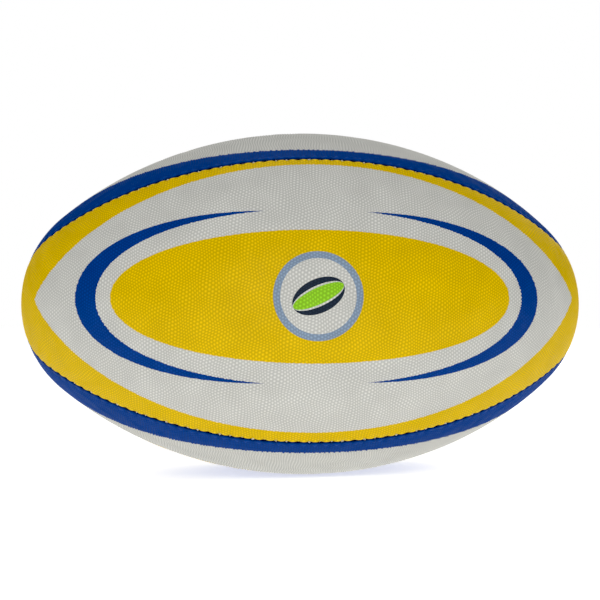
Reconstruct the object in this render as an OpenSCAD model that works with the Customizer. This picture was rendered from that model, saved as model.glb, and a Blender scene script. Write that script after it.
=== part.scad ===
// Rugby ball, size 5. The long axis lies along X, the front panel faces -Y and the
// valve is in the middle of the top panel. The origin is the centre of the ball.

/* [Ball] */
// Length from tip to tip
ball_len = 300; // [290:1:304]
// Diameter at the middle
ball_dia = 183; // [180:0.5:188]
// Radius of the rounded tips
tip_r = 60; // [56:1:64]

/* [Panels] */
// Thickness of the pimpled rubber cover
cover_t = 1.25; // [1:0.05:1.4]
// Thickness of the cotton ply glued under the cover
cotton_t = 0.55; // [0.4:0.05:0.6]
// Thickness of the innermost polyester ply
poly_t = 0.55; // [0.4:0.05:0.6]
// Depth of the turned-in seam edges, from the outside of the ball
seam_depth = 8; // [7:0.5:10]
// Distance from the tips at which the turned-in edges are trimmed away
seam_end = 11; // [9:1:16]

/* [Stitching] */
// Distance from stitch to stitch
stitch_pitch = 5; // [4.5:0.5:7]
// Depth of the stitches, from the outside of the ball
stitch_depth = 4; // [3.8:0.1:5]
// Diameter of the waxed thread
thread_d = 0.8; // [0.6:0.05:0.9]

/* [Bladder] */
// Thickness of the bladder wall
bladder_t = 0.8; // [0.6:0.1:1.2]

/* [Valve] */
// Diameter of the needle bore in the valve plug
needle_bore_d = 2.1; // [1.9:0.1:2.4]
// Depth of the needle bore below the face of the plug
needle_bore_len = 9; // [7:0.5:10]
// Diameter of the plug's stem across its sealing ribs
plug_d = 5.5; // [5:0.1:6]
// Diameter of the glued discs around the valve
disc_d = 26; // [22:1:30]

/* [Hidden] */
$fn = 240;

// Turn of each panel about the long axis, counted from the top
TOP = 0;
FRONT = 90;
BOTTOM = 180;
BACK = 270;

// The outline is a long arc over the body that runs smoothly into an arc at each tip
tip_x = ball_len / 2 - tip_r;
body_r = (tip_x * tip_x + ball_dia * ball_dia / 4 - tip_r * tip_r) / (ball_dia - 2 * tip_r);
body_y = body_r - ball_dia / 2;
blend_a = atan2(tip_x, body_y);
blend_step = 0.002;

// Each layer starts at its inset, measured from the outside of the ball
glue_gap = 0.05;
layer_gap = 0.1;
cotton_inset = cover_t + glue_gap;
poly_inset = cotton_inset + cotton_t + glue_gap;
panel_t = poly_inset + poly_t;
patch_t = 0.5;
patch_inset = panel_t + layer_gap;
bladder_inset = patch_inset + patch_t + layer_gap;
disc_t = 1;
boot_disc_inset = bladder_inset + bladder_t + glue_gap;
valve_patch_inset = boot_disc_inset + disc_t + glue_gap;

// Seams
seam_gap = 0.05;
seam_x = ball_len / 2 - seam_end;
slot_clearance = 0.3;

// Stitches: the thread runs along both sides of the turned-in edges
hole_d = thread_d + 0.2;
hole_margin = 0.02;
cross_d = thread_d * 0.9;
run_z = seam_gap + panel_t + glue_gap + thread_d / 2;
bead_d = thread_d + 0.06;
bead_gap_a = 0.02;
stitch_body_r = body_r - stitch_depth;
stitch_tip_r = tip_r - stitch_depth;
stitch_end = 3;
stitch_end_a = asin((seam_x - stitch_end - tip_x) / stitch_tip_r);
stitch_body_len = stitch_body_r * blend_a * PI / 180;
stitch_half_len = stitch_body_len + stitch_tip_r * (stitch_end_a - blend_a) * PI / 180;
stitches = floor(stitch_half_len / stitch_pitch);

// Valve
face_z = ball_dia / 2 - 0.2;
neck_d = plug_d + 3.4;
neck_hole_d = neck_d + 0.2;
body_d = plug_d + 5.5;
head_d = plug_d + 1.4;
head_t = 1.1;
plug_clearance = 0.05;
boot_len = 17;
plug_len = 14.5;
rib_count = 3;
rib_len = 1.6;
core_d = plug_d - 0.7;
lead_in = 0.6;
slit_w = 0.12;
air_hole_d = 3;

// ---- Outline and layers ----

// Whole outline in the XY plane, moved inwards by inset: two long arcs meet in a lens,
// and its points are cut away beyond the tip arcs. The tip arcs stand proud of the long
// arcs by blend_step, so that the two cross cleanly
module outline(inset) {
    blend_x = tip_x + (tip_r - inset) * sin(blend_a);
    difference() {
        intersection() {
            translate([0, -body_y]) circle(r = body_r - inset);
            translate([0, body_y]) circle(r = body_r - inset);
        }
        for (side = [-1, 1])
            difference() {
                translate([side * (blend_x + tip_r / 2), 0])
                    square([tip_r, ball_dia], center = true);
                translate([side * tip_x, 0]) circle(r = tip_r - inset + blend_step);
            }
    }
}

// Solid ball, moved inwards by inset
module egg(inset) {
    rotate([0, 90, 0])
        rotate_extrude()
            intersection() {
                rotate(90) outline(inset);
                translate([0, -ball_len]) square([ball_dia, 2 * ball_len]);
            }
}

module shell(inset, thickness) {
    difference() {
        egg(inset);
        egg(inset + thickness);
    }
}

// ---- Seam frame: the seam lies in the XY plane, on the side where y > 0 ----

module at_seam(turn) {
    rotate([turn + 45, 0, 0]) children();
}

// Point on the stitch line at a distance s along it from the middle
function stitch_point(s) =
    abs(s) <= stitch_body_len
        ? arc_point(0, -body_y, stitch_body_r, s / stitch_body_r * 180 / PI)
        : arc_point(
            sign(s) * tip_x, 0, stitch_tip_r,
            sign(s) * (blend_a + (abs(s) - stitch_body_len) / stitch_tip_r * 180 / PI)
        );

function arc_point(x, y, r, a) = [x + r * sin(a), y + r * cos(a)];

// ---- Panels ----

// Space of a panel in its first seam's frame, kept edge_z clear of both seams
module panel_space(edge_z) {
    translate([-ball_len, edge_z, edge_z]) cube([2 * ball_len, ball_dia, ball_dia]);
}

// Space beyond the trimmed ends of the turned-in edges
module tip_space() {
    for (side = [-1, 1])
        translate([side * (seam_x + ball_len), 0, 0]) cube(2 * ball_len, center = true);
}

module at_both_seams() {
    for (swap = [0, 1])
        mirror(swap * [0, 1, -1]) children();
}

module stitch_holes(edge_z, thickness) {
    translate([0, 0, edge_z - hole_margin])
        linear_extrude(thickness + 2 * hole_margin)
            for (i = [-stitches:stitches])
                translate(stitch_point(i * stitch_pitch)) circle(d = hole_d, $fn = 32);
}

// One layer of a panel, with its edges turned in along both seams
module panel_layer(inset, thickness) {
    edge_z = seam_gap + inset;
    difference() {
        intersection() {
            egg(inset);
            panel_space(edge_z);
        }
        intersection() {
            egg(inset + thickness);
            union() {
                panel_space(edge_z + thickness);
                tip_space();
            }
        }
        egg(seam_depth);
        at_both_seams() stitch_holes(edge_z, thickness);
    }
}

module cover(turn) {
    at_seam(turn) panel_layer(0, cover_t);
}

module cotton_ply(turn) {
    at_seam(turn) panel_layer(cotton_inset, cotton_t);
}

module polyester_ply(turn) {
    at_seam(turn) panel_layer(poly_inset, poly_t);
}

module valve_hole() {
    cylinder(d = neck_hole_d, h = ball_dia, $fn = 64);
}

module cover_front() { color("gold") cover(FRONT); }
module cover_back() { color("gold") cover(BACK); }
module cover_bottom() { color("royalblue") cover(BOTTOM); }
module cover_top() {
    color("royalblue")
        difference() {
            cover(TOP);
            valve_hole();
        }
}

module cotton_ply_front() { color("linen") cotton_ply(FRONT); }
module cotton_ply_back() { color("linen") cotton_ply(BACK); }
module cotton_ply_bottom() { color("linen") cotton_ply(BOTTOM); }
module cotton_ply_top() {
    color("linen")
        difference() {
            cotton_ply(TOP);
            valve_hole();
        }
}

module polyester_ply_front() { color("lightgray") polyester_ply(FRONT); }
module polyester_ply_back() { color("lightgray") polyester_ply(BACK); }
module polyester_ply_bottom() { color("lightgray") polyester_ply(BOTTOM); }
module polyester_ply_top() {
    color("lightgray")
        difference() {
            polyester_ply(TOP);
            valve_hole();
        }
}

// ---- Stitching ----

// Run of thread along one side of a seam. Its long arc stops just short of the tip arcs,
// and a bead of wax bridges each gap
module thread_run() {
    long_a = blend_a - bead_gap_a;
    translate([0, -body_y, 0])
        rotate_extrude(start = 90 - long_a, angle = 2 * long_a)
            translate([stitch_body_r, 0]) circle(d = thread_d, $fn = 24);
    for (side = [0, 1])
        mirror([side, 0, 0]) {
            translate([tip_x, 0, 0])
                rotate_extrude(start = 90 - stitch_end_a, angle = stitch_end_a - blend_a)
                    translate([stitch_tip_r, 0]) circle(d = thread_d, $fn = 24);
            translate(stitch_point(stitch_body_len)) sphere(d = bead_d, $fn = 24);
        }
}

// Thread of one seam: a run along each side, joined through every pair of holes
module seam_thread(turn) {
    color("white")
        at_seam(turn) {
            for (side = [-1, 1])
                translate([0, 0, side * run_z]) thread_run();
            for (i = [-stitches:stitches])
                translate(concat(stitch_point(i * stitch_pitch), -run_z))
                    cylinder(d = cross_d, h = 2 * run_z, $fn = 24);
        }
}

module seam_thread_top_front() { seam_thread(FRONT); }
module seam_thread_top_back() { seam_thread(TOP); }
module seam_thread_bottom_front() { seam_thread(BOTTOM); }
module seam_thread_bottom_back() { seam_thread(BACK); }

// ---- Bladder ----

// Slots along all four seams, half_w to each side, reaching down to a depth
module seam_slots(half_w, depth, end_x) {
    for (turn = [TOP, FRONT])
        at_seam(turn)
            linear_extrude(2 * half_w, center = true)
                difference() {
                    square([2 * end_x, 2 * ball_dia], center = true);
                    outline(depth);
                }
}

// The bladder's surface, moved inwards by inset, folded in under the seams
module bladder_form(inset) {
    difference() {
        egg(bladder_inset + inset);
        seam_slots(
            run_z + thread_d / 2 + slot_clearance + inset,
            seam_depth + slot_clearance + inset,
            seam_x + slot_clearance + inset
        );
    }
}

module bladder() {
    color("dimgray")
        difference() {
            bladder_form(0);
            bladder_form(bladder_t);
            valve_hole();
        }
}

// ---- Valve ----

// Glued disc around the valve that follows the curve of the ball
module disc(inset, thickness, diameter, hole) {
    intersection() {
        shell(inset, thickness);
        difference() {
            cylinder(d = diameter, h = ball_dia, $fn = 96);
            cylinder(d = hole, h = ball_dia, $fn = 64);
        }
    }
}

module lining_patch() {
    color("linen") disc(patch_inset, patch_t, disc_d + 4, neck_hole_d);
}

module valve_patch() {
    color("black") disc(valve_patch_inset, disc_t, disc_d - 2, body_d + 0.2);
}

module valve_boot() {
    color("darkslategray")
        difference() {
            union() {
                translate([0, 0, face_z - boot_len])
                    cylinder(d = neck_d, h = boot_len, $fn = 64);
                translate([0, 0, face_z - boot_len])
                    cylinder(d = body_d, h = boot_len - boot_disc_inset - disc_t, $fn = 64);
                disc(boot_disc_inset, disc_t, disc_d, 1);
            }
            translate([0, 0, face_z - plug_len - 0.5])
                cylinder(d = plug_d + 2 * plug_clearance, h = boot_len, $fn = 64);
            translate([0, 0, face_z - head_t - plug_clearance])
                cylinder(d = head_d + 2 * plug_clearance, h = boot_len, $fn = 64);
            translate([0, 0, face_z - boot_len - 1])
                cylinder(d = air_hole_d, h = boot_len, $fn = 48);
        }
}

module valve_plug() {
    rib_space = (plug_len - head_t - rib_len) / rib_count;
    color("black")
        translate([0, 0, face_z])
            difference() {
                union() {
                    translate([0, 0, -head_t]) cylinder(d = head_d, h = head_t, $fn = 64);
                    translate([0, 0, -plug_len]) cylinder(d = core_d, h = plug_len, $fn = 64);
                    for (i = [1:rib_count])
                        translate([0, 0, -head_t - i * rib_space])
                            cylinder(d = plug_d, h = rib_len, $fn = 64);
                }
                translate([0, 0, -needle_bore_len])
                    cylinder(d = needle_bore_d, h = plug_len, $fn = 48);
                translate([0, 0, -lead_in])
                    cylinder(d1 = needle_bore_d, d2 = needle_bore_d + 2 * lead_in, h = lead_in, $fn = 48);
                translate([0, 0, -plug_len])
                    cube([core_d / 2, slit_w, plug_len], center = true);
            }
}

cover_front();
cover_top();
cover_back();
cover_bottom();
cotton_ply_front();
cotton_ply_top();
cotton_ply_back();
cotton_ply_bottom();
polyester_ply_front();
polyester_ply_top();
polyester_ply_back();
polyester_ply_bottom();
seam_thread_top_front();
seam_thread_top_back();
seam_thread_bottom_front();
seam_thread_bottom_back();
bladder();
lining_patch();
valve_boot();
valve_patch();
valve_plug();
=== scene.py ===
"""Looks of the rugby ball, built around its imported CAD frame. Lengths are in metres.

A point on a panel has three coordinates: s, the distance along the outside from the
middle of the ball towards a tip; phi, the angle about the long axis from the panel's
middle line; and depth, the distance below the outside. gap is a point's distance from
the plane of the nearest seam.
"""

import math

import bmesh
import bpy
import numpy as np
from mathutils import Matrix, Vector


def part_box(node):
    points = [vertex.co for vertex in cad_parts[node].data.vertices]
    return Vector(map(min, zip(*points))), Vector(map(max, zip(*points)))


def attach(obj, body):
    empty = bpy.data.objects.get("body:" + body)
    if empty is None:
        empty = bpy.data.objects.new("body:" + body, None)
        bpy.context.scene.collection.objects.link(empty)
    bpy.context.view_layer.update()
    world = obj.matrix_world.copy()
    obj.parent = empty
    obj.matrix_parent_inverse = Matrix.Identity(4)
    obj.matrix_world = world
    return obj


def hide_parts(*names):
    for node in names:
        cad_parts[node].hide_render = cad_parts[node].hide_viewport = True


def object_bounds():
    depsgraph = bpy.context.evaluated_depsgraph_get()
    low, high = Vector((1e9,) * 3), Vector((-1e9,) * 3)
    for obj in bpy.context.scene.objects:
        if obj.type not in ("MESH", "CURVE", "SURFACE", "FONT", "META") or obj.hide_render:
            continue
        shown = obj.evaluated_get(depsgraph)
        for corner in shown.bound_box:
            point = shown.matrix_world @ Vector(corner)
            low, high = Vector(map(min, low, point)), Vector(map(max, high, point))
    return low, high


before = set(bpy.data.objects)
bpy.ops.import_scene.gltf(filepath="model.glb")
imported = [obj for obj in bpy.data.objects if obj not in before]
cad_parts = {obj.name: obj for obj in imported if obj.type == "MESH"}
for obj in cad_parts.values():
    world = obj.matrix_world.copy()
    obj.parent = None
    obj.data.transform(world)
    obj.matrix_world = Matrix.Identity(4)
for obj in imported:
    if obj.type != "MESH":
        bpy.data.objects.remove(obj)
cad_box = [list(corner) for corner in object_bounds()]

MM = 0.001

# ---- Driving dimensions ----

HALF_LEN = round(cad_box[1][0], 3)
HALF_DIA = round(cad_box[1][1], 4)
TIP_R = 60 * MM
COVER_T = 1.25 * MM
PLY_T = 0.55 * MM
GLUE = 0.05 * MM
SEAM_DEPTH = 8 * MM
SEAM_END = 11 * MM
STITCH_PITCH = 5 * MM
STITCH_DEPTH = 4 * MM
STITCH_END = 3 * MM  # from the last stitch to the trimmed end of a seam
TRIM_FADE = 5 * MM  # length over which the turned-in edges are trimmed away

# Middle of each panel, as an angle about the long axis from -Y towards +Z
PANEL_TURN = {"front": 0.0, "top": 90.0, "back": 180.0, "bottom": 270.0}

# ---- Outline: a long arc over the body that runs smoothly into an arc at each tip ----

tip_x = HALF_LEN - TIP_R
body_r = (tip_x**2 + HALF_DIA**2 - TIP_R**2) / (2 * (HALF_DIA - TIP_R))
body_y = body_r - HALF_DIA
blend_a = math.atan2(tip_x, body_y)
blend_s = body_r * blend_a
end_s = blend_s + TIP_R * (math.pi / 2 - blend_a)


def meridian(s):
    """x, radius and the outward normal's two parts, at distances s along the outside."""
    s = np.asarray(s, float)
    side = np.sign(s)
    a = np.abs(s) / body_r
    on_tip = np.abs(s) > blend_s
    a = np.where(on_tip, blend_a + (np.abs(s) - blend_s) / TIP_R, a)
    x = np.where(on_tip, tip_x + TIP_R * np.sin(a), body_r * np.sin(a))
    r = np.where(on_tip, TIP_R * np.cos(a), body_r * np.cos(a) - body_y)
    return side * x, r, side * np.sin(a), np.cos(a)


def surface_coordinates(co):
    """s, angle about the long axis from -Y towards +Z, and depth of points."""
    x = np.abs(co[:, 0])
    rho = np.hypot(co[:, 1], co[:, 2])
    a = np.arctan2(x, rho + body_y)
    tip_a = np.arctan2(x - tip_x, rho)
    on_tip = a > blend_a
    s = np.where(on_tip, blend_s + TIP_R * (tip_a - blend_a), body_r * a)
    depth = np.where(
        on_tip, TIP_R - np.hypot(x - tip_x, rho), body_r - np.hypot(x, rho + body_y)
    )
    angle = np.arctan2(co[:, 2], -co[:, 1])
    return s * np.sign(co[:, 0]), angle, depth


def place(s, depth, angle):
    """Points at a depth below the outside, at an angle about the long axis."""
    x, r, nx, nr = meridian(s)
    rho = r - depth * nr
    return np.stack([x - depth * nx, -rho * np.cos(angle), rho * np.sin(angle)], axis=-1)


def smooth(t):
    """Rises from 0 to 1 without a corner as t does."""
    t = np.clip(t, 0, 1)
    return t * t * (3 - 2 * t)


def stitch_phase(s):
    """Stitches passed since the middle of the ball, counted along the stitch line."""
    on_body = np.minimum(np.abs(s), blend_s) * (body_r - STITCH_DEPTH) / body_r
    on_tip = np.maximum(np.abs(s) - blend_s, 0) * (TIP_R - STITCH_DEPTH) / TIP_R
    return (on_body + on_tip) / STITCH_PITCH


def s_at_phase(phase):
    """The distance along the outside at a number of stitches from the middle."""
    length = abs(phase) * STITCH_PITCH
    body = blend_s * (body_r - STITCH_DEPTH) / body_r
    if length <= body:
        s = length * body_r / (body_r - STITCH_DEPTH)
    else:
        s = blend_s + (length - body) * TIP_R / (TIP_R - STITCH_DEPTH)
    return math.copysign(s, phase)


def edge_share(s):
    """1 where the panels' edges are turned in, falling to 0 where they are trimmed away."""
    x, _, _, _ = meridian(s)
    return smooth((HALF_LEN - SEAM_END - np.abs(x)) / TRIM_FADE)


# ---- Mesh helpers ----


def zipper(low, low_at, high, high_at):
    """Triangles between two rows of vertices, matched by their places along the rows."""
    tris = []
    i = j = 0
    while i + 1 < len(low) or j + 1 < len(high):
        step_low = j + 1 == len(high) or (i + 1 < len(low) and low_at[i + 1] <= high_at[j + 1])
        if step_low:
            tris.append((low[i], low[i + 1], high[j]))
            i += 1
        else:
            tris.append((low[i], high[j + 1], high[j]))
            j += 1
    return tris


def grid(columns):
    """Quads between neighbouring columns of vertices of equal length."""
    quads = []
    for left, right in zip(columns, columns[1:]):
        for k in range(len(left) - 1):
            quads.append((left[k], right[k], right[k + 1], left[k + 1]))
    return quads


def make_mesh(name, vertices, faces):
    """A smooth-shaded piece whose faces all look outwards."""
    mesh = bpy.data.meshes.new(name)
    mesh.from_pydata([tuple(v) for v in vertices], [], faces)
    shape = bmesh.new()
    shape.from_mesh(mesh)
    bmesh.ops.recalc_face_normals(shape, faces=shape.faces)
    shape.to_mesh(mesh)
    shape.free()
    mesh.shade_smooth()
    piece = bpy.data.objects.new(name, mesh)
    bpy.context.scene.collection.objects.link(piece)
    return piece


def set_attribute(mesh, name, values):
    """One number for each vertex, for the materials to read."""
    attribute = mesh.attributes.get(name) or mesh.attributes.new(name, "FLOAT", "POINT")
    attribute.data.foreach_set("value", np.asarray(values, np.float32))


def coordinates(mesh):
    """The mesh's vertices as rows of x, y and z."""
    co = np.zeros(len(mesh.vertices) * 3, np.float32)
    mesh.vertices.foreach_get("co", co)
    return co.reshape(-1, 3).astype(float)


# ---- Panels ----

FOLD_STEPS = 5  # columns of vertices round each folded edge
COARSE = 4  # one row in this many is carried on to the inner side
PUCKER_DEPTH = 0.5 * MM
PUCKER_OPENING = 0.32 * MM
PUCKER_REACH = 1.7 * MM
TIP_FADE = 7 * MM  # radius under which the folds shrink towards the tips
MIN_FOLD = 0.02  # share of a fold that is left at the tips
TIP_PIT = 0.5 * MM  # radius of the pit where the four panels meet
WANDER = 0.42 * MM  # how far the rows of pimples stray from straight lines
WANDER_LEN = 2.0 * MM
WANDER_EDGE_FADE = 5 * MM
WANDER_END_FADE = 9 * MM
EDGE_MARGIN = 0.6  # room between the pimples and the fold, in spacings
MIN_FLAP = 0.4 * MM  # what is left of a turned-in edge where it is trimmed away
INNER_CORNER = 0.35 * MM  # where the turned-in edge meets the panel's inner face
INNER_SPACING = 5 * MM
MAX_TURN = 0.7  # keeps arcsines in range at the tips, where a panel narrows to nothing


class Layer:
    """One layer of a panel. pimple is a pimple's height, and pucker the stitches' pull."""

    def __init__(self, inset, thickness, fold_r, spacing, pimple, pucker):
        self.inset = inset
        self.thickness = thickness
        self.fold_r = fold_r
        self.spacing = spacing
        self.pimple = pimple
        self.pucker = pucker
        self.gap = GLUE + inset


COVER = Layer(0, COVER_T, fold_r=1.3 * MM, spacing=0.725 * MM, pimple=0.45 * MM, pucker=1)
PLY = {"fold_r": 0.6 * MM, "spacing": 2.2 * MM, "pimple": 0, "pucker": 0.5}
COTTON = Layer(COVER_T + GLUE, PLY_T, **PLY)
POLYESTER = Layer(COVER_T + PLY_T + 2 * GLUE, PLY_T, **PLY)


def pucker(s, layer):
    """How strongly each stitch pulls the folded edge in: 1 at a stitch, 0 between them."""
    pull = ((1 + np.cos(2 * np.pi * stitch_phase(s))) / 2) ** 1.5
    return layer.pucker * pull * edge_share(s)


def fold_scale(s, layer):
    """The folded edge shrinks near the tips, where there is no room for it."""
    _, r, _, nr = meridian(s)
    return np.clip((r - layer.inset * nr) / TIP_FADE, MIN_FOLD, 1)


class PanelPoints:
    """Collects a panel's vertices. side is -1 or 1 for the seam a point belongs to."""

    def __init__(self):
        self.parts = []
        self.count = 0

    def add(self, s, angle, depth):
        s, angle, depth = np.broadcast_arrays(*(np.asarray(v, float) for v in (s, angle, depth)))
        self.parts.append(np.stack([s, angle, depth], axis=-1).reshape(-1, 3))
        first = self.count
        self.count += s.size
        return list(range(first, self.count))

    def add_by_gap(self, s, side, gap, depth):
        """Adds points given by their gap from the seam's plane."""
        _, r, _, nr = meridian(s)
        rho = r - depth * nr
        angle = side * (math.pi / 4 - np.arcsin(np.clip(gap / rho, -MAX_TURN, MAX_TURN)))
        return self.add(s, angle, depth)

    def array(self):
        return np.concatenate(self.parts)


def outer_depth(s, gap, layer):
    """Depth of the outer face near a seam, where the stitches pull it in."""
    reach = (gap - layer.gap) / PUCKER_REACH
    return layer.inset + PUCKER_DEPTH * pucker(s, layer) * np.exp(-(reach**2))


def wander(s, across):
    """Slow shifts along and across that keep the rows of pimples from running straight."""
    u, v = s / WANDER_LEN, across / WANDER_LEN
    along = np.sin(0.6 * u + 0.8 * v + 2 * np.sin(0.23 * u - 0.17 * v))
    sideways = np.sin(0.8 * v - 0.7 * u + 2 * np.sin(0.19 * v + 0.27 * u))
    return WANDER * along, WANDER * sideways


def panel_rows(layer, points):
    """Rows of the outer face. Pimples stand on every second point of a triangular grid."""
    step = layer.spacing
    last_s = end_s - TIP_PIT
    rows_a_side = round(last_s / (step * math.sqrt(3) / 2) / COARSE) * COARSE
    row_step = last_s / rows_a_side
    rows = []
    for n in range(-rows_a_side, rows_a_side + 1):
        s = n * row_step
        _, r, _, nr = meridian(s)
        rho = r - layer.inset * nr
        scale = fold_scale(s, layer)
        edge = layer.gap * min(scale * 2, 1) + layer.fold_r * scale
        margin = EDGE_MARGIN * step * scale
        half = rho * (math.pi / 4 - math.asin(min((edge + margin) / rho, MAX_TURN)))
        shift = n * step / 2
        m = np.arange(math.ceil((-half - shift) / step), math.floor((half - shift) / step) + 1)
        across = m * step + shift
        gap = rho * np.sin(math.pi / 4 - np.abs(across) / rho)
        raised = (m % 2 == 0) & (n % 2 == 0)
        depth = outer_depth(s, gap, layer) - layer.pimple * (np.where(raised, 1, 0) - 0.5)
        inside = smooth((gap - layer.gap - 2 * layer.fold_r) / WANDER_EDGE_FADE)
        share = inside * smooth((end_s - abs(s)) / WANDER_END_FADE)
        along, sideways = wander(s, across)
        angle = (across + sideways * share) / rho
        rows.append({"s": s, "points": points.add(s + along * share, angle, depth)})
    return rows


def fold_columns(layer, points, rows, side):
    """Columns of vertices round one folded edge, from the outer face to the turned-in edge."""
    s = np.array([row["s"] for row in rows])
    scale = fold_scale(s, layer)
    pull = pucker(s, layer)
    columns = []
    for k in range(FOLD_STEPS):
        turn = math.pi / 2 * k / (FOLD_STEPS - 1)
        flat_gap = layer.gap * np.minimum(scale * 2, 1)
        gap = flat_gap + layer.fold_r * scale * (1 - math.sin(turn))
        gap = gap + PUCKER_OPENING * pull * math.sin(turn)
        depth = outer_depth(s, gap, layer) + layer.fold_r * scale * (1 - math.cos(turn))
        columns.append(points.add_by_gap(s, side, gap, depth))
    return columns


def inner_columns(layer, points, rows, side):
    """Columns down the turned-in edge, round its end and back up to the inner face."""
    s = np.array([row["s"] for row in rows])
    scale = fold_scale(s, layer)
    gap0 = layer.gap * np.minimum(scale * 2, 1)
    t = layer.thickness
    wall = t * scale
    opening = PUCKER_OPENING * pucker(s, layer)
    top = layer.inset + layer.fold_r * scale
    inside = layer.inset + t
    end = inside + (MIN_FLAP + (SEAM_DEPTH - inside - MIN_FLAP) * edge_share(s)) * scale
    round_r = 0.3 * wall
    corner = INNER_CORNER * scale
    outline = [
        (gap0 + opening * 0.6, top * 0.7 + end * 0.3),
        (gap0, top * 0.3 + end * 0.7),
        (gap0, end - round_r),
        (gap0 + round_r, end),
        (gap0 + wall - round_r, end),
        (gap0 + wall, end - round_r),
        (gap0 + wall, (end - round_r + inside + corner) / 2),
        (gap0 + wall, inside + corner),
        (gap0 + wall + corner, inside + 0 * s),
    ]
    return [points.add_by_gap(s, side, gap, depth) for gap, depth in outline]


def face_columns(layer, points, rows, left, right):
    """Columns across the inner face, between the two columns that end it."""
    array = points.array()
    s = np.array([row["s"] for row in rows])
    count = int(2 * HALF_DIA * math.pi / 4 / INNER_SPACING)
    columns = []
    for k in range(1, count):
        share = k / count
        angle = array[right, 1] * (1 - share) + array[left, 1] * share
        columns.append(points.add(s, angle, layer.inset + layer.thickness))
    return columns


def panel_geometry(layer):
    """Vertices (s, angle, depth) and faces of one layer of a panel, as one closed mesh."""
    points = PanelPoints()
    rows = panel_rows(layer, points)
    folds = {side: fold_columns(layer, points, rows, side) for side in (-1, 1)}
    faces = []
    # Outer face and folds
    angles = points.array()[:, 1]
    for j, row in enumerate(rows):
        row["all"] = [folds[-1][0][j]] + row["points"] + [folds[1][0][j]]
        row["all_at"] = list(angles[row["all"]])
    for low, high in zip(rows, rows[1:]):
        faces += zipper(low["all"], low["all_at"], high["all"], high["all_at"])
    faces += [face[::-1] for face in grid(folds[-1])]
    faces += grid(folds[1])
    # Turned-in edges and inner face
    coarse = rows[::COARSE]
    inner = {side: inner_columns(layer, points, coarse, side) for side in (-1, 1)}
    face = face_columns(layer, points, coarse, inner[-1][-1], inner[1][-1])
    for side in (-1, 1):
        fine = folds[side][-1]
        coarse_at = list(range(0, COARSE * len(coarse), COARSE))
        strip = zipper(inner[side][0], coarse_at, fine, list(range(len(fine))))
        faces += strip if side == 1 else [tri[::-1] for tri in strip]
    loop = inner[1] + face + inner[-1][::-1]
    faces += grid(loop)
    # Ends at the tips
    for j in (0, len(coarse) - 1):
        fold_right = [column[j * COARSE] for column in folds[1][1:]]
        fold_left = [column[j * COARSE] for column in folds[-1][1:]]
        ring = coarse[j]["all"] + fold_right + [column[j] for column in loop] + fold_left[::-1]
        hub = points.add(coarse[j]["s"], 0, layer.inset + layer.thickness / 2)[0]
        faces += [(a, b, hub) for a, b in zip(ring, ring[1:] + ring[:1])]
    return points.array(), faces


def finish_piece(piece, node, slot, body="ball"):
    """Gives a piece its coordinates and its slot's material, and its place in the frame."""
    s, angle, depth = surface_coordinates(coordinates(piece.data))
    turn = math.radians(piece.get("panel_turn", 90))
    across = np.mod(angle - turn + math.pi, 2 * math.pi) - math.pi
    _, r, _, nr = meridian(s)
    set_attribute(piece.data, "along", s / MM)
    set_attribute(piece.data, "across", across * (r - depth * nr) / MM)
    set_attribute(piece.data, "depth", depth / MM)
    piece.data.materials.clear()
    piece.data.materials.append(MATERIALS[slot])
    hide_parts(node)
    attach(piece, body)
    return piece


def build_panel(name, geometry, panel):
    """One layer of a panel: the geometry, made for the front, turned to the panel's side."""
    array, faces = geometry
    co = place(array[:, 0], array[:, 2], array[:, 1] + math.radians(PANEL_TURN[panel]))
    piece = make_mesh(name, co, faces)
    piece["panel_turn"] = PANEL_TURN[panel]
    return piece


# ---- Turned shapes ----


def lathe(name, profile, segments=96):
    """Turns a profile of (radius, z) points about Z. It is closed, or starts and ends on Z."""
    vertices, rings = [], []
    for radius, z in profile:
        count = segments if radius > 0 else 1
        first = len(vertices)
        rings.append([first + k % count for k in range(segments)])
        for k in range(count):
            a = 2 * math.pi * k / segments
            vertices.append((radius * math.cos(a), radius * math.sin(a), z))
    if profile[0][0] > 0:
        rings.append(rings[0])
    faces = []
    for low, high in zip(rings, rings[1:]):
        for k in range(segments):
            n = (k + 1) % segments
            corners = (low[k], low[n], high[n], high[k])
            faces.append(tuple(dict.fromkeys(corners)))
    return make_mesh(name, vertices, faces)


def rounded(corners, steps=4):
    """Rounds a profile of (radius, z, rounding) corners, each as far as its sides leave room."""
    out = []
    for k, (radius, z, rounding) in enumerate(corners):
        point = Vector((radius, z))
        if rounding == 0:
            out.append((radius, z))
            continue
        before = Vector(corners[k - 1][:2]) - point
        after = Vector(corners[(k + 1) % len(corners)][:2]) - point
        cut = min(rounding, before.length * 0.45, after.length * 0.45)
        start = point + before.normalized() * cut
        end = point + after.normalized() * cut
        for i in range(steps + 1):
            t = i / steps
            out.append(tuple(start * (1 - t) ** 2 + point * 2 * t * (1 - t) + end * t * t))
    return out


def bend_to_ball(piece):
    """Lowers a piece's points as the ball falls away around the valve."""
    for vertex in piece.data.vertices:
        x, y, _ = vertex.co
        vertex.co.z -= x * x / (2 * body_r) + y * y / (2 * HALF_DIA)


def subtract(piece, tool):
    """Cuts the tool's shape out of a piece and removes the tool."""
    cut = piece.modifiers.new("cut", "BOOLEAN")
    cut.operation = "DIFFERENCE"
    cut.solver = "MANIFOLD"
    cut.object = tool
    graph = bpy.context.evaluated_depsgraph_get()
    mesh = bpy.data.meshes.new_from_object(piece.evaluated_get(graph))
    piece.modifiers.clear()
    piece.data = mesh
    mesh.shade_smooth()
    bpy.data.objects.remove(tool)


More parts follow.
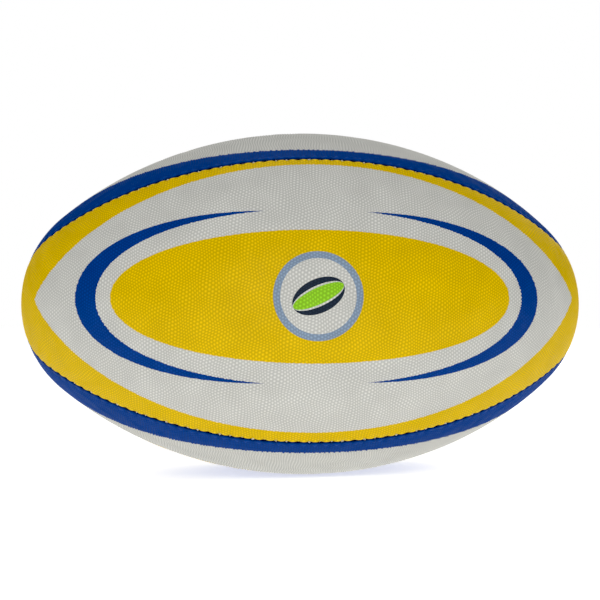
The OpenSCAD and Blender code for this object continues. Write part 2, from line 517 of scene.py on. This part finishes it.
def drill(piece, depth, mouth):
    """Cuts the valve's hole through a layer whose outside is at that depth."""
    top = HALF_DIA - depth
    profile = [
        (0, HALF_DIA * 0.8),
        (NECK_HOLE_R, HALF_DIA * 0.8),
        (NECK_HOLE_R, top - mouth),
        (NECK_HOLE_R + mouth / 3, top - mouth / 3),
        (NECK_HOLE_R + mouth * 2, top + mouth / 2),
        (NECK_HOLE_R + mouth * 2, HALF_DIA * 1.1),
        (0, HALF_DIA * 1.1),
    ]
    subtract(piece, lathe("drill", profile))


# ---- Stitching ----

THREAD_R = 0.36 * MM
THREAD_SIDES = 9
THREAD_STEP = 0.45 * MM
THREAD_PLIES = 3
THREAD_TWIST = 2.4 * MM  # length of one turn of the plies
PLY_RELIEF = 0.14  # depth of the grooves between the plies, as a share of the radius
CURVE_STEPS = 12
RUN_GAP = 2.95 * MM  # from the seam's plane to the runs along its sides
RUN_RISE = 0.3 * MM
RUN_START = 0.24  # distance from a crossing to the runs on its two sides, in stitches
STRAND_SHIFT = 0.04  # shift between the two strands at a crossing, in stitches
CROSS_DEPTH = 1.25 * MM
CROSS_VARIATION = 0.4 * MM
SEAMS = {
    "seam_thread_top_front": 45.0,
    "seam_thread_top_back": 135.0,
    "seam_thread_bottom_back": 225.0,
    "seam_thread_bottom_front": 315.0,
}


def last_stitch():
    """Number of stitches from the middle of the ball to the end of a seam."""
    x = HALF_LEN - SEAM_END - STITCH_END
    a = math.asin((x - tip_x) / (TIP_R - STITCH_DEPTH))
    return int(stitch_phase(blend_s + TIP_R * (a - blend_a)))


def strand_path(turn, lead):
    """Control points of one of the two strands of a saddle stitch. lead is 0 or 1."""
    angle = math.radians(turn)
    outward = np.array([0, -math.cos(angle), math.sin(angle)])
    sideways = np.array([0, math.sin(angle), math.cos(angle)])
    count = last_stitch()
    points = []
    for i in range(-count, count + 1):
        side = 1 if (i + lead) % 2 else -1
        shift = STRAND_SHIFT if lead else -STRAND_SHIFT
        for phase, gap, depth in (
            (i - RUN_START, side * RUN_GAP, STITCH_DEPTH - RUN_RISE),
            (i + shift, 0, CROSS_DEPTH + CROSS_VARIATION * math.sin(2.4 * i + lead)),
            (i + RUN_START, -side * RUN_GAP, STITCH_DEPTH - RUN_RISE),
            (i + 0.5, -side * RUN_GAP, STITCH_DEPTH),
        ):
            x, r, nx, nr = meridian(s_at_phase(phase))
            along = np.array([float(x - depth * nx), 0, 0])
            points.append(along + outward * float(r - depth * nr) + sideways * gap)
    return np.array(points[:-1])


def resample(points, step):
    """A smooth curve through the points, cut into even steps."""
    padded = np.vstack([2 * points[0] - points[1], points, 2 * points[-1] - points[-2]])
    t = np.linspace(0, 1, CURVE_STEPS, endpoint=False)[:, None]
    fine = []
    for p0, p1, p2, p3 in zip(padded, padded[1:], padded[2:], padded[3:]):
        slope = p2 - p0
        bend = 2 * p0 - 5 * p1 + 4 * p2 - p3
        skew = 3 * p1 - p0 - 3 * p2 + p3
        fine.append(0.5 * (2 * p1 + slope * t + bend * t**2 + skew * t**3))
    fine = np.vstack(fine + [points[-1:]])
    length = np.concatenate([[0], np.cumsum(np.linalg.norm(np.diff(fine, axis=0), axis=1))])
    at = np.linspace(0, length[-1], int(length[-1] / step))
    return np.stack([np.interp(at, length, fine[:, k]) for k in range(3)], axis=1), at


def thread_tube(path, at, first):
    """Vertices, faces and plies' shading of a twisted thread swept along a path."""
    tangent = np.gradient(path, axis=0)
    tangent /= np.linalg.norm(tangent, axis=1)[:, None]
    normal = np.cross(tangent[0], [1, 0, 0])
    vertices, faces, ply = [], [], []
    around = 2 * np.pi * np.arange(THREAD_SIDES) / THREAD_SIDES
    for k, centre in enumerate(path):
        normal = normal - tangent[k] * normal.dot(tangent[k])
        normal /= np.linalg.norm(normal)
        binormal = np.cross(tangent[k], normal)
        wave = np.cos(THREAD_PLIES * (around - 2 * np.pi * at[k] / THREAD_TWIST))
        radius = THREAD_R * (1 - PLY_RELIEF + PLY_RELIEF * wave)
        ring = np.outer(radius * np.cos(around), normal)
        ring += np.outer(radius * np.sin(around), binormal)
        vertices.append(centre + ring)
        ply.append(wave)
        if k:
            low = first + (k - 1) * THREAD_SIDES
            for j in range(THREAD_SIDES):
                n = (j + 1) % THREAD_SIDES
                faces.append((low + j, low + n, low + n + THREAD_SIDES, low + j + THREAD_SIDES))
    last = first + (len(path) - 1) * THREAD_SIDES
    faces.append(tuple(range(first, first + THREAD_SIDES))[::-1])
    faces.append(tuple(range(last, last + THREAD_SIDES)))
    return np.vstack(vertices), faces, np.concatenate(ply)


def build_thread(name, turn):
    """Both strands of one seam as one piece, with its plies' shading."""
    vertices, faces, ply = [], [], []
    count = 0
    for lead in (0, 1):
        path, at = resample(strand_path(turn, lead), THREAD_STEP)
        strand = thread_tube(path, at, count)
        vertices.append(strand[0])
        faces += strand[1]
        ply.append(strand[2])
        count += len(strand[0])
    piece = make_mesh(name, np.vstack(vertices), faces)
    set_attribute(piece.data, "ply", np.concatenate(ply))
    return piece


# ---- Bladder ----

BLADDER_INSET = 3.15 * MM
BLADDER_T = 0.8 * MM
SLOT_GAP = 3.7 * MM  # half width of the groove that leaves room for a seam
SLOT_SIDE = 1.3 * MM
SLOT_DEPTH = 8.3 * MM
BLADDER_ROWS = 170
FLAT_COLUMNS = 24
SLOT_SHARES = (0, 0.5, 0.85)  # columns across the floor of a groove
SLOT_SIDE_COLUMNS = 5
BLADDER_END = 2 * MM  # from a tip to the bladder's last row
SLOT_FADE = 16 * MM  # radius under which the grooves narrow towards the tips
MAX_SLOT_TURN = 0.6


def bladder_skin(shrink):
    """Vertices and faces of one skin of the bladder, shrink below its outside."""
    slot_gap = SLOT_GAP + shrink
    slot_side = slot_gap + np.linspace(0, SLOT_SIDE, SLOT_SIDE_COLUMNS)
    near_seam = np.concatenate([slot_gap * np.array(SLOT_SHARES), slot_side])
    ends = end_s - BLADDER_END
    rows = []
    for s in np.linspace(-ends, ends, BLADDER_ROWS):
        _, r, _, nr = meridian(s)
        rho = float(r - (BLADDER_INSET + shrink) * nr)
        narrowed = near_seam * min(1, rho / SLOT_FADE)
        seam_side = np.arcsin(np.clip(narrowed / rho, 0, MAX_SLOT_TURN))
        flat = np.linspace(seam_side[-1], math.pi / 2 - seam_side[-1], FLAT_COLUMNS)[1:-1]
        quarter = np.concatenate([seam_side, flat, math.pi / 2 - seam_side[:0:-1]])
        dip = 1 - smooth((rho * np.abs(np.sin(quarter)) - slot_gap) / SLOT_SIDE)
        other = 1 - smooth((rho * np.abs(np.cos(quarter)) - slot_gap) / SLOT_SIDE)
        slot = (SLOT_DEPTH - BLADDER_INSET) * edge_share(s)
        depth = BLADDER_INSET + shrink + slot * np.maximum(dip, other)
        for turn in range(4):
            rows.append(place(s, depth, quarter + math.pi / 4 + turn * math.pi / 2))
    vertices = np.vstack(rows)
    around = len(vertices) // BLADDER_ROWS
    faces = []
    for low in range(0, len(vertices) - around, around):
        for k in range(around):
            n = (k + 1) % around
            faces.append((low + k, low + n, low + n + around, low + k + around))
    last = len(vertices) - around
    faces.append(tuple(range(around))[::-1])
    faces.append(tuple(range(last, last + around)))
    return vertices, faces


def build_bladder():
    """A closed rubber bag: an outer and an inner skin."""
    outer, outer_faces = bladder_skin(0)
    inner, inner_faces = bladder_skin(BLADDER_T)
    inner_faces = [tuple(v + len(outer) for v in face) for face in inner_faces]
    return make_mesh("rubber_bladder", np.vstack([outer, inner]), outer_faces + inner_faces)


# ---- Valve ----

FACE_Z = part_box("valve_plug")[1].z
NECK_R = 4.45 * MM
NECK_HOLE_R = 4.55 * MM
BODY_R = 5.5 * MM
DISC_R = 13 * MM
DISC_T = 1 * MM
BOOT_DISC_DEPTH = 4 * MM
BOOT_LEN = 17 * MM
PLUG_LEN = 14.5 * MM
PLUG_R = 2.75 * MM
PLUG_CORE_R = 2.4 * MM
HEAD_R = 3.45 * MM
HEAD_T = 1.1 * MM
PLUG_GAP = 0.05 * MM
RIB_LEN = 1.6 * MM
RIBS = 3
BORE_R = 1.05 * MM
BORE_LEN = 9 * MM
LEAD_IN = 0.6 * MM
AIR_HOLE_R = 1.5 * MM
LINING_DEPTH = 2.55 * MM
LINING_T = 0.5 * MM
LINING_R = DISC_R + 2 * MM
BACKING_DEPTH = 5.05 * MM
BACKING_R = DISC_R - 1 * MM
BACKING_HOLE_R = BODY_R + 0.1 * MM
COVER_MOUTH = 0.6 * MM  # rounding of the valve's hole at a layer's outside
PLY_MOUTH = 0.1 * MM


def disc_rings(inner, outer, z, thickness, rounding):
    """Profile of a flat disc with a hole, with rings between so that it can be bent."""
    steps = [inner + (outer - inner) * k / 6 for k in range(1, 6)]
    corners = [(inner, z - thickness, rounding / 2), (inner, z, rounding / 2)]
    corners += [(r, z, 0) for r in steps]
    corners += [(outer, z, rounding), (outer, z - thickness, rounding)]
    corners += [(r, z - thickness, 0) for r in reversed(steps)]
    return rounded(corners)


def build_disc(name, inner, outer, depth, thickness):
    """A soft round patch with a hole, bent to the ball."""
    profile = disc_rings(inner, outer, HALF_DIA - depth, thickness, thickness * 0.35)
    piece = lathe(name, profile)
    bend_to_ball(piece)
    return piece


def build_boot():
    """The valve's body: a neck, a disc glued inside the bladder and a pocket for the plug."""
    low = FACE_Z - BOOT_LEN
    cavity = FACE_Z - PLUG_LEN - 0.5 * MM
    shelf = FACE_Z - HEAD_T - PLUG_GAP
    disc_top = HALF_DIA - BOOT_DISC_DEPTH
    disc_low = disc_top - DISC_T
    across = [BODY_R + (DISC_R - BODY_R) * k / 5 for k in range(1, 5)]
    corners = [
        (AIR_HOLE_R, low, 0.3 * MM),
        (AIR_HOLE_R, cavity, 0.3 * MM),
        (PLUG_R + PLUG_GAP, cavity, 0.3 * MM),
        (PLUG_R + PLUG_GAP, shelf, 0.15 * MM),
        (HEAD_R + PLUG_GAP, shelf, 0.1 * MM),
        (HEAD_R + PLUG_GAP, FACE_Z, 0.22 * MM),
        (NECK_R, FACE_Z, 0.3 * MM),
        (NECK_R, disc_top, 0.5 * MM),
        *[(r, disc_top, 0) for r in across],
        (DISC_R, disc_top, 0.35 * MM),
        (DISC_R, disc_low, 0.35 * MM),
        *[(r, disc_low, 0) for r in reversed(across)],
        (BODY_R, disc_low, 1.0 * MM),
        (BODY_R, low, 1.2 * MM),
    ]
    piece = lathe("valve_rubber_boot", rounded(corners))
    bend_to_ball(piece)
    return piece


def build_plug():
    """The soft plug that the pump's needle goes through, with ribs that grip the boot."""
    space = (PLUG_LEN - HEAD_T - RIB_LEN) / RIBS
    corners = [(0, -BORE_LEN, 0), (BORE_R, -BORE_LEN, 0.3 * MM), (BORE_R, -LEAD_IN, 0.3 * MM)]
    corners += [(BORE_R + LEAD_IN, 0, 0.25 * MM), (HEAD_R, 0, 0.35 * MM)]
    corners += [(HEAD_R, -HEAD_T, 0.25 * MM), (PLUG_CORE_R, -HEAD_T, 0.3 * MM)]
    for k in range(1, RIBS + 1):
        low = -HEAD_T - k * space
        corners += [
            (PLUG_CORE_R, low + RIB_LEN, 0.15 * MM),
            (PLUG_R, low + RIB_LEN, 0.3 * MM),
            (PLUG_R, low, 0.3 * MM),
            (PLUG_CORE_R, low, 0.15 * MM),
        ]
    corners += [(PLUG_CORE_R, -PLUG_LEN, 0.5 * MM), (0, -PLUG_LEN, 0)]
    return lathe("valve_sealing_plug", [(r, z + FACE_Z) for r, z in rounded(corners)])


# ---- Materials ----


class Graph:
    """Builds one material's nodes. An input is a number, a colour or a node's output."""

    def __init__(self, name):
        self.material = bpy.data.materials.new(name)
        self.material.use_nodes = True
        self.tree = self.material.node_tree
        self.tree.nodes.clear()
        metres = self.node("TexCoord", {}, "Object")
        to_mm = {0: metres, "Scale": 1 / MM}
        self.place_mm = self.node("VectorMath", to_mm, operation="SCALE")

    def node(self, kind, inputs, output=0, **settings):
        """Adds a node with its inputs set or linked, and returns one of its outputs."""
        node = self.tree.nodes.new("ShaderNode" + kind)
        for key, value in settings.items():
            setattr(node, key, value)
        for key, value in inputs.items():
            if isinstance(value, bpy.types.NodeSocket):
                self.tree.links.new(value, node.inputs[key])
            elif isinstance(value, tuple):
                node.inputs[key].default_value = (*value, 1)
            else:
                node.inputs[key].default_value = value
        return node.outputs[output]

    def math(self, operation, *values):
        return self.node("Math", dict(enumerate(values)), operation=operation)

    def attribute(self, name):
        return self.node("Attribute", {}, "Fac", attribute_name=name)

    def noise(self, size, detail=2):
        """Noise whose lumps are about size millimetres across, around 0.5."""
        inputs = {"Vector": self.place_mm, "Scale": 1 / size, "Detail": detail}
        return self.node("TexNoise", inputs, "Fac")

    def between(self, value, low, high, to_low=0, to_high=1):
        """Carries low to to_low and high to to_high, and stops there."""
        inputs = {0: value, 1: low, 2: high, 3: to_low, 4: to_high}
        return self.node("MapRange", inputs, clamp=True)

    def mix(self, share, first, second, blend="MIX"):
        inputs = {0: share, 6: first, 7: second}
        return self.node("Mix", inputs, 2, data_type="RGBA", blend_type=blend)

    def finish(self, color, roughness, height, bump_mm, sheen=0, specular=0.5, glow=0):
        """Height runs from 0 to 1 and stands for bump_mm millimetres of relief."""
        inputs = {"Height": height, "Distance": bump_mm * MM, "Strength": 1}
        normal = self.node("Bump", inputs, "Normal")
        inputs = {"Base Color": color, "Roughness": roughness, "Normal": normal}
        inputs |= {"Sheen Weight": sheen, "Specular IOR Level": specular}
        inputs |= {"Emission Color": (1, 1, 1), "Emission Strength": glow}
        shader = self.node("BsdfPrincipled", inputs)
        output = self.tree.nodes.new("ShaderNodeOutputMaterial")
        self.tree.links.new(shader, output.inputs["Surface"])
        return self.material


WHITE = (0.59, 0.59, 0.555)
YELLOW = (0.7, 0.475, 0.01)
BLUE = (0.006, 0.05, 0.25)
RING_GREY = (0.24, 0.32, 0.43)
NAVY = (0.02, 0.03, 0.05)
GREEN = (0.27, 0.58, 0.03)
COTTON_WARM = (0.62, 0.53, 0.38)
COTTON_COOL = (0.74, 0.66, 0.5)
POLYESTER_WARM = (0.66, 0.67, 0.66)
POLYESTER_COOL = (0.8, 0.81, 0.8)
WEAVE_SHADOW = (0.12, 0.1, 0.08)
THREAD_SHADOW = (0.3, 0.28, 0.23)
THREAD_PALE = (0.72, 0.7, 0.62)
THREAD_DIRT = (0.36, 0.33, 0.27)
BLADDER_BLACK = (0.03, 0.03, 0.032)
BOOT_BLACK = (0.022, 0.022, 0.024)
PLUG_GREY = (0.42, 0.41, 0.37)
TALC = (0.42, 0.41, 0.38)
GREY_BLOOM = (0.16, 0.16, 0.15)
PALE_BLOOM = (0.58, 0.57, 0.53)

# The printed pattern, in millimetres along and across a panel
PRINT_SHIFT = (-3.8, 0.7)
OVAL = (91.7, 28.4)
CRESCENT_OUTER = (85.9, 37.5)
CRESCENT_SHIFT = 25.8
CRESCENT_INNER = (99.7, 38.4)
# Band along the edges: shift along and across, tilt, half width of the field inside, its
# half length and the power of its curve
YELLOW_EDGE = (-1.6, 1.3, 0.0052, 65.2, 143.2, 0.884)
BLUE_EDGE = (0, 0, 0, 63.5, 160, 1.25)
BLUE_SQUEEZE = 0.62  # the panels with a blue edge carry a narrower oval
EMBLEM_R = 18.7
EMBLEM_INSIDE_R = 15.8
MARK_TILT = math.radians(25)
MARK_OVALS = ((11.5, 7, NAVY), (11.5, 4.2, WHITE), (11.5, 3.4, GREEN))
RAGGED = 0.35  # how far the printed edges stray
# Painted shade between the pimples, painted highlight on top of them and painted shade down in the
# seams, as factors on the ink's brightness
VALLEY_SHADE = 0.78
TIP_HIGHLIGHT = 1.25
CREASE_SHADE = 0.12


def ellipse(g, along, across, half_along, half_across):
    """1 inside an ellipse about the origin of the two coordinates."""
    a = g.math("POWER", g.math("ABSOLUTE", g.math("DIVIDE", along, half_along)), 2)
    b = g.math("POWER", g.math("ABSOLUTE", g.math("DIVIDE", across, half_across)), 2)
    return g.math("LESS_THAN", g.math("ADD", a, b), 1)


def edge_band(g, ragged, shift_along, shift_across, tilt, half_width, length, power):
    """1 in the band along a panel's edges, which closes over the panel's ends."""
    along = g.math("SUBTRACT", g.attribute("along"), shift_along)
    across = g.math("SUBTRACT", g.attribute("across"), shift_across)
    across = g.math("SUBTRACT", across, g.math("MULTIPLY", g.attribute("along"), tilt))
    across = g.math("ADD", across, ragged)
    share = g.math("POWER", g.math("ABSOLUTE", g.math("DIVIDE", along, length)), 2)
    left = g.math("MAXIMUM", g.math("SUBTRACT", 1, share), 0)
    width = g.math("MULTIPLY", g.math("POWER", left, power), half_width)
    return g.math("GREATER_THAN", g.math("ABSOLUTE", across), width)


def crescents(g, along, across):
    """1 inside the two crescents at the ends of the centre oval."""
    left = ellipse(g, g.math("ADD", along, CRESCENT_SHIFT), across, *CRESCENT_OUTER)
    right = ellipse(g, g.math("SUBTRACT", along, CRESCENT_SHIFT), across, *CRESCENT_OUTER)
    inner = ellipse(g, along, across, *CRESCENT_INNER)
    return g.math("SUBTRACT", g.math("MAXIMUM", left, right), inner)


def emblem(g, along, across, color):
    """A plain roundel with a generic tilted oval, printed over the colour given."""
    disc = ellipse(g, along, across, EMBLEM_R, EMBLEM_R)
    inside = ellipse(g, along, across, EMBLEM_INSIDE_R, EMBLEM_INSIDE_R)
    color = g.mix(disc, color, RING_GREY)
    color = g.mix(inside, color, WHITE)
    cos, sin = math.cos(MARK_TILT), math.sin(MARK_TILT)
    u = g.math("ADD", g.math("MULTIPLY", along, cos), g.math("MULTIPLY", across, sin))
    v = g.math("SUBTRACT", g.math("MULTIPLY", across, cos), g.math("MULTIPLY", along, sin))
    for half_u, half_v, ink in MARK_OVALS:
        color = g.mix(ellipse(g, u, v, half_u, half_v), color, ink)
    return color


def printed_cover(name, oval_ink, crescent_ink, edge_ink, edge, squeeze, with_emblem):
    """Pimpled rubber with printed inks. The print runs over the folded edges."""
    g = Graph(name)
    ragged = g.between(g.noise(0.9, 3), 0, 1, -RAGGED, RAGGED)
    along = g.math("SUBTRACT", g.attribute("along"), PRINT_SHIFT[0])
    across = g.math("SUBTRACT", g.attribute("across"), PRINT_SHIFT[1])
    ragged_along = g.math("ADD", along, ragged)
    ragged_across = g.math("DIVIDE", g.math("ADD", across, ragged), squeeze)
    oval = ellipse(g, ragged_along, ragged_across, *OVAL)
    curved = g.math("MAXIMUM", crescents(g, ragged_along, ragged_across), 0)
    band = edge_band(g, ragged, *edge)
    color = g.mix(oval, WHITE, oval_ink)
    color = g.mix(curved, color, crescent_ink)
    color = g.mix(band, color, edge_ink)
    if with_emblem:
        color = emblem(g, along, across, color)
    printed = g.math("MAXIMUM", oval, g.math("MAXIMUM", curved, band))
    # Painted shade in the hollows between the pimples and a painted highlight on their tops, set by
    # each point's depth
    tips = g.between(g.attribute("depth"), 0.2, -0.2, VALLEY_SHADE, TIP_HIGHLIGHT)
    # Painted shade down in the seams' creases, darker the deeper a point lies
    painted_crease_shade = g.between(g.attribute("depth"), 0.25, 0.9, 1, CREASE_SHADE)
    wear = g.between(g.noise(14, 3), 0.3, 0.7, 0.96, 1.04)
    shade = g.math("MULTIPLY", g.math("MULTIPLY", tips, painted_crease_shade), wear)
    grey = g.node("CombineColor", {0: shade, 1: shade, 2: shade})
    color = g.mix(1, color, grey, "MULTIPLY")
    rough = g.between(printed, 0, 1, 0.62, 0.5)
    rough = g.math("ADD", rough, g.between(g.noise(3, 3), 0.3, 0.7, -0.06, 0.06))
    return g.finish(color, rough, g.noise(0.35, 3), 0.05, specular=0.15)


def woven(name, warm, cool, pitch, sheen):
    """Plain weave: threads both ways that pass over and under each other."""
    g = Graph(name)
    sway = g.between(g.noise(6, 2), 0, 1, -0.5, 0.5)
    u = g.math("DIVIDE", g.math("ADD", g.attribute("along"), sway), pitch)
    v = g.math("DIVIDE", g.math("ADD", g.attribute("across"), sway), pitch)
    wave_u = g.math("SINE", g.math("MULTIPLY", u, math.pi))
    wave_v = g.math("SINE", g.math("MULTIPLY", v, math.pi))
    over = g.math("MULTIPLY", wave_u, wave_v)
    height = g.between(g.math("ABSOLUTE", over), 0, 1)
    fibres = g.noise(0.25, 3)
    color = g.mix(g.between(over, -0.4, 0.4), warm, cool)
    color = g.mix(g.between(height, 0, 0.6, 0.55, 0), color, WEAVE_SHADOW)
    color = g.mix(g.between(fibres, 0.35, 0.65, 0, 0.18), color, warm)
    relief = g.math("ADD", g.math("MULTIPLY", height, 0.8), g.math("MULTIPLY", fibres, 0.2))
    return g.finish(color, 0.85, relief, pitch * 0.35, sheen=sheen)


def waxed_thread(name):
    """Pale twisted thread, darker between its plies and dirty in places."""
    g = Graph(name)
    ply = g.between(g.attribute("ply"), -1, 1)
    color = g.mix(ply, THREAD_SHADOW, THREAD_PALE)
    color = g.mix(g.between(g.noise(5, 3), 0.45, 0.75, 0, 0.35), color, THREAD_DIRT)
    fibres = g.noise(0.18, 3)
    return g.finish(color, g.between(fibres, 0.3, 0.7, 0.4, 0.6), fibres, 0.04, sheen=0.2)


def rubber(name, color, dust, dust_share, size, roughness):
    """Moulded rubber with a fine grain, and a dusting of talc or bloom."""
    g = Graph(name)
    cloud = g.math("MULTIPLY", g.noise(size, 4), g.noise(size / 6, 3))
    share = g.between(cloud, 0.2, 0.42, 0, dust_share)
    grain = g.noise(0.3, 4)
    shown = g.mix(share, color, dust)
    dusted = g.between(share, 0, dust_share, roughness, 0.9)
    rough = g.math("ADD", dusted, g.between(grain, 0.3, 0.7, -0.05, 0.05))
    return g.finish(shown, rough, grain, 0.06)


# ---- Pieces ----

MATERIALS = {
    "printed_cover_yellow_edge": printed_cover(
        "yellow_edge", YELLOW, BLUE, YELLOW, YELLOW_EDGE, squeeze=1, with_emblem=True
    ),
    "printed_cover_blue_edge": printed_cover(
        "blue_edge", BLUE, YELLOW, BLUE, BLUE_EDGE, squeeze=BLUE_SQUEEZE, with_emblem=False
    ),
    "cotton_ply": woven("woven_cotton", COTTON_WARM, COTTON_COOL, pitch=0.9, sheen=0.3),
    "polyester_ply": woven("woven_polyester", POLYESTER_WARM, POLYESTER_COOL, pitch=0.7, sheen=0.15),
    "waxed_thread": waxed_thread("twisted_thread"),
    "bladder_rubber": rubber(
        "dusted_rubber", BLADDER_BLACK, TALC, dust_share=0.35, size=30, roughness=0.42
    ),
    "valve_rubber": rubber(
        "black_rubber", BOOT_BLACK, GREY_BLOOM, dust_share=0.25, size=8, roughness=0.5
    ),
    "plug_rubber": rubber(
        "pale_rubber", PLUG_GREY, PALE_BLOOM, dust_share=0.4, size=5, roughness=0.55
    ),
}

for layer_name, layer in (("cover", COVER), ("cotton_ply", COTTON), ("polyester_ply", POLYESTER)):
    geometry = panel_geometry(layer)
    for panel in PANEL_TURN:
        piece = build_panel(f"{panel}_{layer_name}", geometry, panel)
        if panel == "top":
            drill(piece, layer.inset, COVER_MOUTH if layer is COVER else PLY_MOUTH)
        edge = "yellow_edge" if panel in ("front", "back") else "blue_edge"
        slot = f"printed_cover_{edge}" if layer is COVER else layer_name
        finish_piece(piece, f"{layer_name}_{panel}", slot)

for seam, turn in SEAMS.items():
    finish_piece(build_thread(seam.replace("seam_thread", "stitching"), turn), seam, "waxed_thread")

bladder = build_bladder()
drill(bladder, BLADDER_INSET, PLY_MOUTH)
finish_piece(bladder, "bladder", "bladder_rubber")
lining = build_disc("valve_lining_patch", NECK_HOLE_R, LINING_R, LINING_DEPTH, LINING_T)
finish_piece(lining, "lining_patch", "cotton_ply")
backing = build_disc("valve_backing_patch", BACKING_HOLE_R, BACKING_R, BACKING_DEPTH, DISC_T)
finish_piece(backing, "valve_patch", "bladder_rubber")
finish_piece(build_boot(), "valve_boot", "valve_rubber")
finish_piece(build_plug(), "valve_plug", "plug_rubber", body="valve_plug")

# ---- Floor, light and camera ----

FLOOR_R = 8.0
FLOOR_T = HALF_DIA * 0.2
FLOOR_GLOW = 0.64
WORLD_LIGHT = 0.46
BLACK_LEVEL = 0.018
# Name, place, diameter and power of each lamp
LAMPS = (
    ("key", (-0.15, -1.44, 0.25), 1.0, 5.75),
    ("top", (-0.1, -0.2, 1.3), 0.5, 2.4),
    ("back_fill", (1.0, 1.3, 0.7), 1.2, 5),
)
CAMERA_AZIMUTH = math.radians(-5.31)
CAMERA_ELEVATION = math.radians(-1.63)
CAMERA_DISTANCE = 0.3409
LENS = 36.6
LENS_SHIFT = (-0.0122, 0.0065)


def build_floor():
    """A large round table of pale, softly lit acrylic."""
    top, low = -HALF_DIA, -HALF_DIA - FLOOR_T
    floor = lathe("floor", [(0, top), (FLOOR_R, top), (FLOOR_R, low), (0, low)])
    g = Graph("pale_acrylic")
    tone = g.between(g.noise(60, 3), 0.3, 0.7)
    color = g.mix(tone, (0.9, 0.9, 0.9), (0.92, 0.92, 0.92))
    floor.data.materials.append(g.finish(color, 0.9, g.noise(1.5, 2), 0.02, glow=FLOOR_GLOW))


def area_light(name, place_at, size, power):
    """A round soft lamp that points at the ball."""
    light = bpy.data.lights.new(name, "AREA")
    light.shape = "DISK"
    light.size = size
    light.energy = power
    lamp = bpy.data.objects.new(name, light)
    lamp.location = place_at
    lamp.rotation_euler = (-Vector(place_at)).to_track_quat("-Z", "Y").to_euler()
    bpy.context.scene.collection.objects.link(lamp)


def build_camera():
    """A camera in front of the ball, a little to its left and just below its middle."""
    data = bpy.data.cameras.new("camera")
    data.lens = LENS
    data.shift_x, data.shift_y = LENS_SHIFT
    data.clip_start = 0.01
    level = CAMERA_DISTANCE * math.cos(CAMERA_ELEVATION)
    camera = bpy.data.objects.new("camera", data)
    camera.location = (
        level * math.sin(CAMERA_AZIMUTH),
        -level * math.cos(CAMERA_AZIMUTH),
        CAMERA_DISTANCE * math.sin(CAMERA_ELEVATION),
    )
    camera.rotation_euler = (-camera.location).to_track_quat("-Z", "Y").to_euler()
    bpy.context.scene.collection.objects.link(camera)
    bpy.context.scene.camera = camera


def build_world():
    """Even light from all round, seen by the camera as a white background."""
    world = bpy.data.worlds.new("studio")
    world.use_nodes = True
    tree = world.node_tree
    path = tree.nodes.new("ShaderNodeLightPath")
    strength = tree.nodes.new("ShaderNodeMapRange")
    strength.inputs["To Min"].default_value = WORLD_LIGHT
    strength.inputs["To Max"].default_value = 1.0
    background = tree.nodes["Background"]
    background.inputs["Color"].default_value = (1, 1, 1, 1)
    tree.links.new(path.outputs["Is Camera Ray"], strength.inputs["Value"])
    tree.links.new(strength.outputs["Result"], background.inputs["Strength"])
    bpy.context.scene.world = world


def set_view():
    """Plain colours, with the darkest tones deepened a little."""
    view = bpy.context.scene.view_settings
    view.view_transform = "Standard"
    view.use_curve_mapping = True
    view.curve_mapping.black_level = (BLACK_LEVEL, BLACK_LEVEL, BLACK_LEVEL)
    view.curve_mapping.update()


build_floor()
build_world()
for lamp in LAMPS:
    area_light(*lamp)
build_camera()
set_view()
